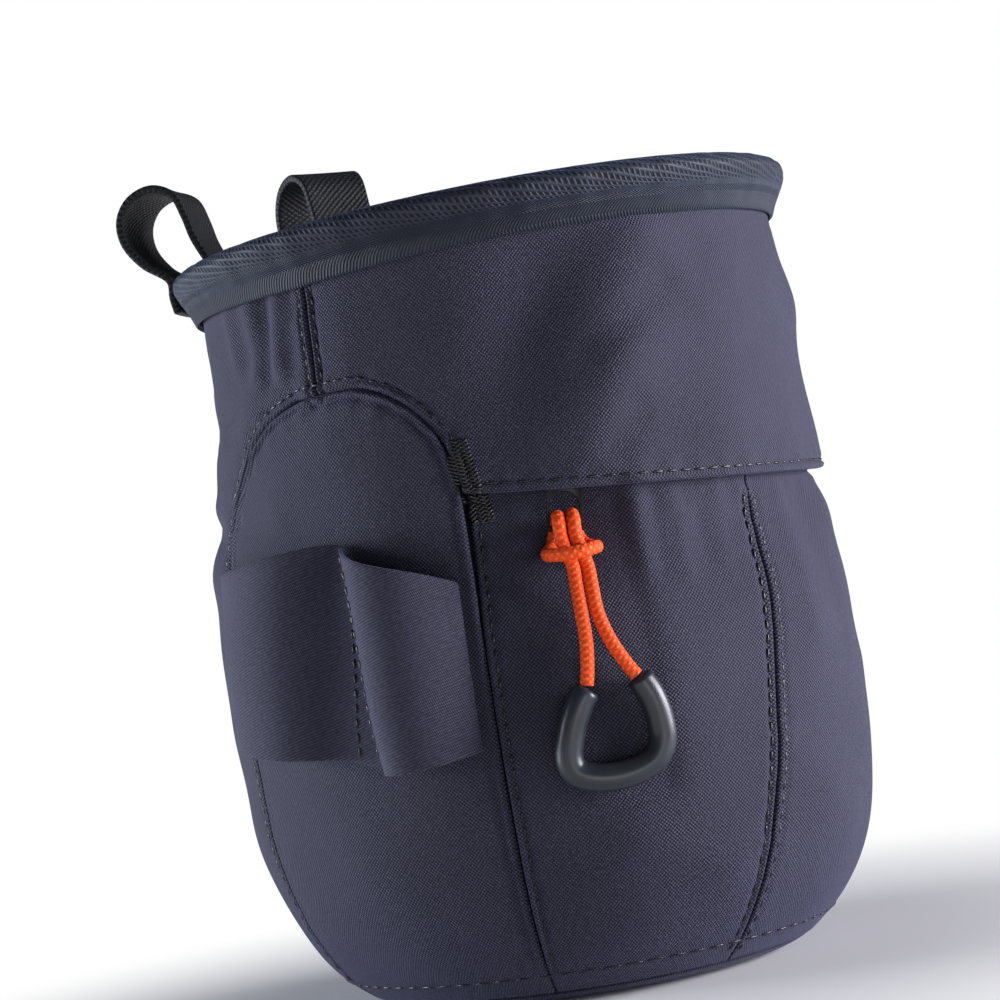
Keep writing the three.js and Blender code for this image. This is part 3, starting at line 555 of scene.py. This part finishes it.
# tightly woven nylon: plain weave with knots painted light in staggered rows, 0.74 mm apart, which is the
# size that they have in the photo and coarser than most such nylon. The light knots are a painted highlight
# and the dark gaps between them are painted shade
body_cloth = woven("woven_nylon_navy", "#020205", "#42415c", (1350, 0), (0, 1350), 0.0003, 0.66, 0.25)

body = []
for node in ("front_yoke", "back_panel", "side_panel_left", "side_panel_right", "pocket_front_left",
             "pocket_front_right", "pocket_back_wall"):
    panel = soft_copy(node, f"{node}_cloth", 3)
    crumple(panel)
    unroll(panel)
    panel.data.materials.append(body_cloth)
    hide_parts(node)
    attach(panel, "root")
    body.append(panel)

# ---------------------------------------------------------------- base
# A round bottom of the same nylon, turned up at its edge and sewn to the panels. It has no folds, because
# the bag stands on it.
base = soft_copy("base_panel", "base_cloth", 2)
unroll(base)
base.data.materials.append(body_cloth)
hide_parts("base_panel")
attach(base, "root")

# ---------------------------------------------------------------- tool sleeves
# Two open sleeves made of one strip of softer, finer twill, sewn down along their ends and along two lines
# that leave a wedge between them.
sleeves = soft_copy("tool_sleeves", "sleeve_cloth", 3)
crumple(sleeves)
unroll(sleeves)
# soft nylon twill: fine slanting ribs, 0.47 mm apart
sleeve_cloth = woven("soft_twill_navy", "#0c0b15", "#46465f", (1500, 1500), (2100, -400), 0.00011, 0.72, 0.3)
sleeves.data.materials.append(sleeve_cloth)
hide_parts("tool_sleeves")
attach(sleeves, "root")

# ---------------------------------------------------------------- rim binding
# A twill tape folded over the rim with padding in its top: chevron ribs below, an open net of slanting
# rows of holes above. Its lower edge wavers.

# the middle of the tape's section, its mean radius and its inner edge, in metres
binding_middle = 0.0587, 0.1470
binding_section = 0.0052
binding_inner = 0.0585
rib_pitch = 0.00072
chevron_width = 0.0026
# how far up or down the lower edge wavers, in mm, at angles round the bag; it fades out up to the top
waver_angles = [-180, -120, -88, -70, -54, -39, -23, -8, 10, 60, 180]
waver_moves = [-0.4, -0.6, -1.3, -0.6, 0, 0.9, 0.9, 0.4, -0.1, 0.2, -0.4]
waver_top = 150
waver_fade = 8
binding = soft_copy("rim_binding", "binding_tape", 2, crease=0.35)
points = points_of(binding)
angle, radius = polar(points)
rise = (lifted(angle, bag_height) - bag_height) / 1000
low_share = np.clip((waver_top - (points[:, 2] - rise) * 1000) / waver_fade, 0, 1)
points[:, 2] += np.interp(angle, waver_angles, waver_moves) * low_share / 1000 * (radius > binding_inner)
ripple = 0.12 * np.sin(np.radians(angle) * 41) + 0.1 * np.sin(np.radians(angle) * 67 + 2)
points[:, :2] *= (1 + ripple / 1000 / radius * np.clip((radius - binding_inner) / 0.002, 0, 1))[:, None]
move_points(binding, points)
unroll(binding)
# the second axis of the map goes round the tape's own section
mesh = binding.data
turn = np.arctan2(points[:, 2] - rise - binding_middle[1], radius - binding_middle[0])
uvs = np.empty(len(mesh.loops) * 2, np.float32)
mesh.uv_layers["cloth"].data.foreach_get("uv", uvs)
uvs = uvs.reshape(-1, 2)
uvs[:, 1] = at_corners(mesh, turn)[1] * binding_section
mesh.uv_layers["cloth"].data.foreach_set("uv", uvs.ravel())

# polyester twill tape: ribs 0.7 mm apart in chevrons 2.6 mm wide, holes where it is stretched over the top
material, tree = new_material("twill_tape_slate")
place = add(tree, "ShaderNodeUVMap", uv_map="cloth")
moved = drifting(tree, place, 120.0, 0.0005)
parts = add(tree, "ShaderNodeSeparateXYZ", {0: moved.outputs[0]})
zigzag = add(tree, "ShaderNodeMath", {0: parts.outputs[1], 1: chevron_width}, operation="PINGPONG")
slant = add(tree, "ShaderNodeMath", {0: zigzag.outputs[0], 1: 0.9, 2: parts.outputs[0]},
            operation="MULTIPLY_ADD")
rib_turn = add(tree, "ShaderNodeMath", {0: slant.outputs[0], 1: 2 * math.pi / rib_pitch},
               operation="MULTIPLY")
rib = add(tree, "ShaderNodeMath", {0: rib_turn.outputs[0]}, operation="SINE")
ribs = add(tree, "ShaderNodeMapRange", {0: rib.outputs[0], 1: -1.0, 2: 1.0, 3: 0.15, 4: 1.0})
slanting, lying = thread_waves(tree, moved, (900, 420), (150, 760))
net = add(tree, "ShaderNodeMath", {0: slanting.outputs[0], 1: lying.outputs[0]}, operation="MAXIMUM")
net_height = add(tree, "ShaderNodeMapRange", {0: net.outputs[0], 1: -0.5, 2: 0.9, 3: 0.0, 4: 1.0})
upper = add(tree, "ShaderNodeMapRange", {0: parts.outputs[1], 1: -0.0012, 2: 0.0004, 3: 0.0, 4: 1.0})
height = add(tree, "ShaderNodeMix", {0: upper.outputs[0], 2: ribs.outputs[0], 3: net_height.outputs[0]},
             data_type="FLOAT")
cloud = add(tree, "ShaderNodeTexNoise", {"Vector": place.outputs[0], "Scale": 60.0, "Detail": 3.0})
# painted highlight on the raised ribs and threads of the net, and painted shade in the grooves and holes,
# over the tape's own dark slate
thread_tone_and_painted_light = add(tree, "ShaderNodeMix", {0: height.outputs[0], 6: colour("#05070b"), 7: colour("#1f2737")},
              data_type="RGBA")
worn = add(tree, "ShaderNodeMapRange", {0: cloud.outputs[0], 1: 0.3, 2: 0.7, 3: 0.85, 4: 1.12})
tone = add(tree, "ShaderNodeVectorMath", {0: thread_tone_and_painted_light.outputs[2], "Scale": worn.outputs[0]}, operation="SCALE")
bump = add(tree, "ShaderNodeBump", {"Height": height.outputs[0], "Strength": 0.8, "Distance": 0.00022})
shine = add(tree, "ShaderNodeMapRange", {0: height.outputs[0], 3: 0.8, 4: 0.55})
shader = add(tree, "ShaderNodeBsdfPrincipled", {
    "Base Color": tone.outputs[0], "Roughness": shine.outputs[0], "Normal": bump.outputs[0],
    "Specular IOR Level": 0.3, "Sheen Weight": 0.2, "Sheen Roughness": 0.4, "Sheen Tint": colour("#93a8d8")})
add(tree, "ShaderNodeOutputMaterial", {0: shader.outputs[0]})
binding.data.materials.append(material)
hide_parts("rim_binding")
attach(binding, "root")

# ---------------------------------------------------------------- belt loops
# Two loops of black ribbed webbing, 15.5 mm wide and 1.6 mm thick, standing up behind the rim, each going
# from the outer side of the rim up and over to its inner side. A flat grid is bent along the CAD route.
webbing_width = 0.0155
webbing_thickness = 0.0016
webbing_rounding = 0.0004
rim_radius = 62.6
loop_depth = 18.4
loop_step = 0.0008
loop_columns = 16
loop_row_heights = 147.9, 149.6
# the loop seen from its side: how far out from the rim, in depths, and how far above it, in heights
loop_route = [
    (0.05, -0.27), (0.08, -0.12), (0.085, 0.05), (0.36, 0.25), (0.53, 0.48), (0.54, 0.7), (0.4, 0.88),
    (0.14, 0.955), (-0.09, 0.86), (-0.19, 0.64), (-0.25, 0.43), (-0.36, 0.21), (-0.5, -0.02),
    (-0.515, -0.22), (-0.48, -0.5), (-0.41, -0.75),
]


def rounded(piece, width, angle):
    """A modifier that rounds the edges of a piece that are sharper than an angle, in degrees."""
    rounder = piece.modifiers.new("rounder", "BEVEL")
    rounder.width = width
    rounder.segments = 2
    rounder.limit_method = "ANGLE"
    rounder.angle_limit = math.radians(angle)
    return rounder


def thicken(piece, thickness, rounding=0):
    """Makes a closed piece of a thickness from the active sheet, with rounded edges where that is asked."""
    thick = piece.modifiers.new("thick", "SOLIDIFY")
    thick.thickness = thickness
    thick.offset = 0
    bpy.ops.object.modifier_apply(modifier=thick.name)
    if rounding:
        bpy.ops.object.modifier_apply(modifier=rounded(piece, rounding, 60).name)
    bpy.ops.object.mode_set(mode="EDIT")
    bpy.ops.mesh.select_all(action="SELECT")
    bpy.ops.mesh.normals_make_consistent(inside=False)
    bpy.ops.object.mode_set(mode="OBJECT")
    bpy.ops.object.shade_smooth_by_angle(angle=math.radians(45))


# nylon webbing: ribs across it 1.2 mm apart, with dots of the warp 1.6 mm apart along them
webbing = woven("ribbed_nylon_webbing_black", "#08090c", "#1c1e24", (830, 0), (0, 640), 0.0003, 0.6, 0.03)

loops = []
loop_rows = []
for side, loop_angle, loop_height in (("left", -154.5, 22.2), ("right", 158.5, 25.0)):
    route = smooth_line([
        (rim_radius + out * loop_depth, 0, lifted(loop_angle, bag_height + up * loop_height))
        for out, up in loop_route], loop_step)
    rows = len(route) - 1
    bpy.ops.object.select_all(action="DESELECT")
    bpy.ops.mesh.primitive_grid_add(
        x_subdivisions=rows, y_subdivisions=loop_columns, size=2, location=(0, 0, 0))
    loop = bpy.context.active_object
    loop.name = loop.data.name = f"belt_loop_{side}_webbing"
    points = points_of(loop)
    run = (points[:, 0] + 1) / 2 * rows
    aside = points[:, 1] / 2 * webbing_width
    out = np.interp(run, np.arange(rows + 1), route[:, 0])
    up = np.interp(run, np.arange(rows + 1), route[:, 2])
    # the strap keeps the curve of the rim that it is sewn to
    turn = math.radians(loop_angle) + aside * 1000 / rim_radius
    points = np.stack([out * np.sin(turn), -out * np.cos(turn), up], 1)
    move_points(loop, points)
    layer = loop.data.uv_layers.active
    uvs = np.empty(len(loop.data.loops) * 2, np.float32)
    layer.data.foreach_get("uv", uvs)
    uvs = uvs.reshape(-1, 2) * (rows * loop_step, webbing_width)
    layer.data.foreach_set("uv", uvs.astype(np.float32).ravel())
    layer.name = "cloth"
    thicken(loop, webbing_thickness, webbing_rounding)
    loop.data.materials.append(webbing)
    loops.append(loop)
    for height in loop_row_heights:
        loop_rows.append(seam([(loop_angle - 6, height), (loop_angle, height), (loop_angle + 6, height)]))
    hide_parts(f"belt_loop_{side}")
    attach(loop, "root")

# ---------------------------------------------------------------- zip
# A nylon coil zip under the flap: its tape is sewn to the pocket's back wall, the slider and the pull tab
# are lacquered metal, the CAD model's own solids with their edges rounded.
zip_tape = soft_copy("zip_tape", "zip_tape_cloth", 3)
crumple(zip_tape)
unroll(zip_tape)
# polyester zip tape: a fine weave on the slant, 0.54 mm apart
zip_cloth = woven("zip_tape_black", "#101015", "#33333f", (1300, 1300), (1300, -1300), 0.0001, 0.75, 0.15)
zip_tape.data.materials.append(zip_cloth)
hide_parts("zip_tape")
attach(zip_tape, "root")

# black lacquered zinc, with small scratches and bright metal on worn edges, which is partly wear and partly a
# painted highlight along the edges
material, tree = new_material("lacquered_zinc_black")
place = add(tree, "ShaderNodeTexCoord")
scratches = add(tree, "ShaderNodeTexNoise", {
    "Vector": place.outputs["Object"], "Scale": 900.0, "Detail": 3.0})
edge = add(tree, "ShaderNodeNewGeometry")
# the bright metal on the sharp edges is partly wear and partly a painted highlight along them
edges = add(tree, "ShaderNodeMapRange", {0: edge.outputs["Pointiness"], 1: 0.57, 2: 0.66, 3: 0.0, 4: 1.0})
worn = add(tree, "ShaderNodeMath", {0: edges.outputs[0], 1: scratches.outputs[0]}, operation="MULTIPLY")
shine = add(tree, "ShaderNodeMapRange", {0: scratches.outputs[0], 1: 0.3, 2: 0.7, 3: 0.4, 4: 0.55})
bump = add(tree, "ShaderNodeBump", {"Height": scratches.outputs[0], "Strength": 0.15, "Distance": 0.00003})
lacquer = add(tree, "ShaderNodeBsdfPrincipled", {
    "Base Color": colour("#08080b"), "Roughness": shine.outputs[0], "Normal": bump.outputs[0],
    "Specular IOR Level": 0.25})
bare_metal_and_painted_highlight = add(tree, "ShaderNodeBsdfPrincipled", {
    "Base Color": colour("#b4b4b8"), "Roughness": 0.35, "Metallic": 1.0, "Normal": bump.outputs[0]})
both = add(tree, "ShaderNodeMixShader", {0: worn.outputs[0], 1: lacquer.outputs[0], 2: bare_metal_and_painted_highlight.outputs[0]})
add(tree, "ShaderNodeOutputMaterial", {0: both.outputs[0]})
for node in ("zip_slider", "pull_tab"):
    metal = nodes[node]
    metal.data.materials.clear()
    metal.data.materials.append(material)
    rounded(metal, 0.00018, 40)

# ---------------------------------------------------------------- stitches
# Bonded nylon thread, almost black, 0.55 mm thick. One stitch is modelled and copied along each row, laid
# on the finished cloth. The seam allowances inside the bag and the bartacks of the pocket are here too.
thread_thickness = 0.00055
tack_thickness = 0.0007
stitch_lift = 0.00006
# pitch and length of the stitches of most seams, in mm
seam_pitch = 2.7
seam_stitch = 2.0
row_offset = 1.7
base_seam_height = 6.5
# rays that find the cloth start this far from the bag's axis and reach this far, in metres
ray_start = 0.12
ray_reach = 0.1

# the thread's material: bonded nylon, shiny on its plies
material, tree = new_material("bonded_thread_black")
place = add(tree, "ShaderNodeTexCoord")
ply = add(tree, "ShaderNodeTexNoise", {"Vector": place.outputs["Object"], "Scale": 3000.0, "Detail": 2.0})
tone = add(tree, "ShaderNodeMix", {0: ply.outputs[0], 6: colour("#040406"), 7: colour("#15151c")},
           data_type="RGBA")
shine = add(tree, "ShaderNodeMapRange", {0: ply.outputs[0], 1: 0.3, 2: 0.7, 3: 0.2, 4: 0.5})
bump = add(tree, "ShaderNodeBump", {"Height": ply.outputs[0], "Strength": 0.5, "Distance": 0.00008})
shader = add(tree, "ShaderNodeBsdfPrincipled", {
    "Base Color": tone.outputs[2], "Roughness": shine.outputs[0], "Normal": bump.outputs[0]})
add(tree, "ShaderNodeOutputMaterial", {0: shader.outputs[0]})
thread = material

bpy.ops.object.select_all(action="DESELECT")
bpy.ops.mesh.primitive_uv_sphere_add(segments=6, ring_count=6, radius=0.5, location=(0, 0, 0))
stitch_model = bpy.context.active_object
stitch_model.name = "stitch_model"
bpy.ops.object.shade_smooth()


def surface(pieces):
    """A search tree of the faces of some pieces."""
    points = []
    faces = []
    for piece in pieces:
        start = len(points)
        points += [v.co.copy() for v in piece.data.vertices]
        faces += [tuple(start + i for i in p.vertices) for p in piece.data.polygons]
    return BVHTree.FromPolygons(points, faces)


def beside(line, offset):
    """A line on the cloth moved to its left by an offset, in mm."""
    ahead = np.gradient(line, axis=0)
    ahead /= np.linalg.norm(ahead, axis=1)[:, None]
    return line + np.stack([-ahead[:, 1], ahead[:, 0]], 1) * offset


def outwards(around):
    """The way out from the bag's axis at a distance round the bag, in mm."""
    turn = around / cloth_radius
    return Vector((math.sin(turn), -math.cos(turn), 0))


def stitches(name, ground, lines, pitch, length, thickness=thread_thickness):
    """Rows of stitches along lines on the cloth, in mm, joined into one piece."""
    made = []
    for line in lines:
        run = run_of(line)
        for at in np.arange(pitch / 2, run[-1], pitch):
            ends = []
            for half in (-length / 2, length / 2):
                way = outwards(np.interp(at + half, run, line[:, 0]))
                up = Vector((0, 0, np.interp(at + half, run, line[:, 1]) / 1000))
                place, normal = ground.ray_cast(way * ray_start + up, -way, ray_reach)[:2]
                if place is not None:
                    ends.append((place, normal))
            if len(ends) < 2 or (ends[0][0] - ends[1][0]).length > 2 * length / 1000:
                continue
            middle = (ends[0][0] + ends[1][0]) / 2
            ahead = (ends[1][0] - ends[0][0]).normalized()
            normal = (ends[0][1] + ends[1][1]).normalized()
            aside = normal.cross(ahead).normalized()
            normal = ahead.cross(aside)
            copy = stitch_model.copy()
            copy.data = stitch_model.data.copy()
            turn = Matrix((ahead, aside, normal)).transposed().to_4x4()
            size = Matrix.Diagonal((length / 1000, thickness, thickness * 0.9, 1))
            copy.data.transform(Matrix.Translation(middle + normal * stitch_lift) @ turn @ size)
            scene.collection.objects.link(copy)
            made.append(copy)
    bpy.ops.object.select_all(action="DESELECT")
    for copy in made:
        copy.select_set(True)
    bpy.context.view_layer.objects.active = made[0]
    bpy.ops.object.join()
    row = bpy.context.active_object
    row.name = row.data.name = name
    row.data.materials.clear()
    row.data.materials.append(thread)
    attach(row, "root")


body_ground = surface(body)
sleeve_ground = surface([sleeves])
stitches("hem_stitches", body_ground, [beside(seams["hem"], 1.9)], 3.2, 2.5)
centre_rows = [beside(seams["centre"], offset) for offset in (row_offset, -row_offset)]
stitches("centre_seam_stitches", body_ground, centre_rows, seam_pitch, seam_stitch)
for side, sign in (("left", -1), ("right", 1)):
    rows = [
        beside(seams[f"arch_{side}"], sign * 1.8),
        beside(seams[f"side_seam_{side}"], row_offset),
        beside(seams[f"side_seam_{side}"], -row_offset),
    ]
    stitches(f"side_seam_stitches_{side}", body_ground, rows, seam_pitch, seam_stitch)
# the two seams beside the wedge between the sleeves
wedge = [
    seam([(-83.0, 89.5), (-83.5, 81), (-84, 72), (-84.7, 63), (-85.8, 52)]),
    seam([(-81.4, 86.5), (-80.5, 79), (-80.3, 70), (-80, 61), (-79.8, 51.5)]),
]
stitches("sleeve_stitches", sleeve_ground, wedge, seam_pitch, seam_stitch)
base_round = np.radians(np.arange(-180, 181, 3.0)) * cloth_radius
base_line = np.stack([base_round, np.full(len(base_round), base_seam_height)], 1)
stitches("base_seam_stitches", body_ground, [base_line], 5.2, 3.8)

# where each loop is sewn to the outer side of the rim
stitches("loop_stitches", surface(loops), loop_rows, 2.2, 1.7)

# seam allowances: strips of the same nylon inside the bag, behind the seams of the side panels
allowance_thickness = 0.0005
allowance_gap = 0.0004
bpy.ops.object.select_all(action="DESELECT")
bpy.ops.mesh.primitive_plane_add(size=1, location=(0, 0, 0))
allowance = bpy.context.active_object
allowance.name = allowance.data.name = "seam_allowances"
points = []
faces = []
offsets = (-3.4, -1.2, 1.2, 3.4)
for side in ("left", "right"):
    for line in (seams[f"arch_{side}"], seams[f"side_seam_{side}"]):
        run = run_of(line)
        even = np.arange(0, run[-1], 2.0)
        line = np.stack([np.interp(even, run, line[:, 0]), np.interp(even, run, line[:, 1])], 1)
        start = len(points)
        for places in zip(*[beside(line, offset) for offset in offsets]):
            for around, up in places:
                way = outwards(around)
                up = Vector((0, 0, up / 1000))
                far = body_ground.ray_cast(up, way, ray_reach)[3]
                # where the ray slips through the seam, the strip keeps the distance of its last point
                if far is None or far <= 0.03:
                    far = points[-1].xy.length if points else 0.06
                points.append(way * (far - allowance_gap) + up)
        for i in range(len(even) - 1):
            for j in range(len(offsets) - 1):
                a = start + i * len(offsets) + j
                faces.append((a, a + 1, a + 1 + len(offsets), a + len(offsets)))
allowance.data.clear_geometry()
allowance.data.from_pydata([tuple(p) for p in points], [], faces)
thicken(allowance, allowance_thickness)
unroll(allowance)
allowance.data.materials.append(body_cloth)
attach(allowance, "root")

# bartacks at the ends of the pocket's opening: close zigzags of the same thread, in three columns. Each
# starts at an angle and a height, and goes in and down by so much.
tack_start = 61.6, 106.0
tack_run = 2.6, 15.5
tack_turns = 45
tack_half_width = 0.75
tacks = []
for sign in (-1, 1):
    for column in (-1.6, 0.0, 1.6):
        tack = []
        for i in range(tack_turns + 1):
            share = i / tack_turns
            angle = sign * (tack_start[0] - tack_run[0] * share)
            height = tack_start[1] - tack_run[1] * share
            aside = tack_half_width if i % 2 else -tack_half_width
            tack.append((math.radians(angle) * cloth_radius + column + aside, height))
        tacks.append(np.array(tack, float))
stitches("bartacks", body_ground, tacks, 1.55, 2.1, thickness=tack_thickness)
bpy.data.objects.remove(stitch_model)

# ---------------------------------------------------------------- floor and light
# A plain white studio: a floor that fades to bright white away from the bag, white all round for the
# camera, a large soft light at each side, and a small weak one low in front.
fade_start = 0.065
fade_end = 0.2
light_aim = Vector((0, 0, 0.09))
bpy.ops.object.select_all(action="DESELECT")
bpy.ops.mesh.primitive_plane_add(size=12, location=(0, 0, 0))
floor = bpy.context.active_object
floor.name = "floor"
# white background paper, matt, which glows away from the bag as an overexposed one does
material, tree = new_material("white_paper")
place = add(tree, "ShaderNodeTexCoord")
far = add(tree, "ShaderNodeVectorMath", {0: place.outputs["Object"]}, operation="LENGTH")
fade = add(tree, "ShaderNodeMapRange", {0: far.outputs["Value"], 1: fade_start, 2: fade_end, 3: 0.0, 4: 1.0},
           interpolation_type="SMOOTHSTEP")
fibre = add(tree, "ShaderNodeTexNoise", {"Vector": place.outputs["Object"], "Scale": 400.0, "Detail": 3.0})
shine = add(tree, "ShaderNodeMapRange", {0: fibre.outputs[0], 3: 0.8, 4: 0.95})
paper = add(tree, "ShaderNodeBsdfPrincipled", {
    "Base Color": colour("#f4f4f4"), "Roughness": shine.outputs[0]})
bright = add(tree, "ShaderNodeEmission", {"Color": (1, 1, 1, 1), "Strength": 1.0})
both = add(tree, "ShaderNodeMixShader", {0: fade.outputs[0], 1: paper.outputs[0], 2: bright.outputs[0]})
add(tree, "ShaderNodeOutputMaterial", {0: both.outputs[0]})
floor.data.materials.append(material)

world = bpy.data.worlds.new("studio")
world.use_nodes = True
scene.world = world
tree = world.node_tree
tree.nodes.clear()
seen = add(tree, "ShaderNodeLightPath")
soft = add(tree, "ShaderNodeBackground", {"Color": (1, 1, 1, 1), "Strength": 0.05})
white = add(tree, "ShaderNodeBackground", {"Color": (1, 1, 1, 1), "Strength": 1.0})
both = add(tree, "ShaderNodeMixShader", {0: seen.outputs["Is Camera Ray"], 1: soft.outputs[0],
                                         2: white.outputs[0]})
add(tree, "ShaderNodeOutputWorld", {0: both.outputs[0]})

# each light's angle from the camera in degrees, height, distance and size in metres, power in watts and tint
for name, from_camera, up, distance, size, power, tint in (
    ("light_left", -97, 0.08, 0.8, 0.5, 12, (0.82, 0.88, 1.0)),
    ("light_right", 82, 0.08, 0.8, 0.55, 22.5, (0.93, 0.92, 1.0)),
    ("light_low", 12, 0.015, 0.36, 0.12, 0.16, (1.0, 0.96, 1.0)),
):
    turn = camera_azimuth + math.radians(from_camera)
    place = Vector((distance * math.sin(turn), -distance * math.cos(turn), up))
    aim = (light_aim - place).to_track_quat("-Z", "Y")
    bpy.ops.object.select_all(action="DESELECT")
    bpy.ops.object.light_add(type="AREA", location=place, rotation=aim.to_euler())
    light = bpy.context.active_object
    light.name = name
    light.data.shape = "SQUARE"
    light.data.size = size
    light.data.energy = power
    light.data.color = tint
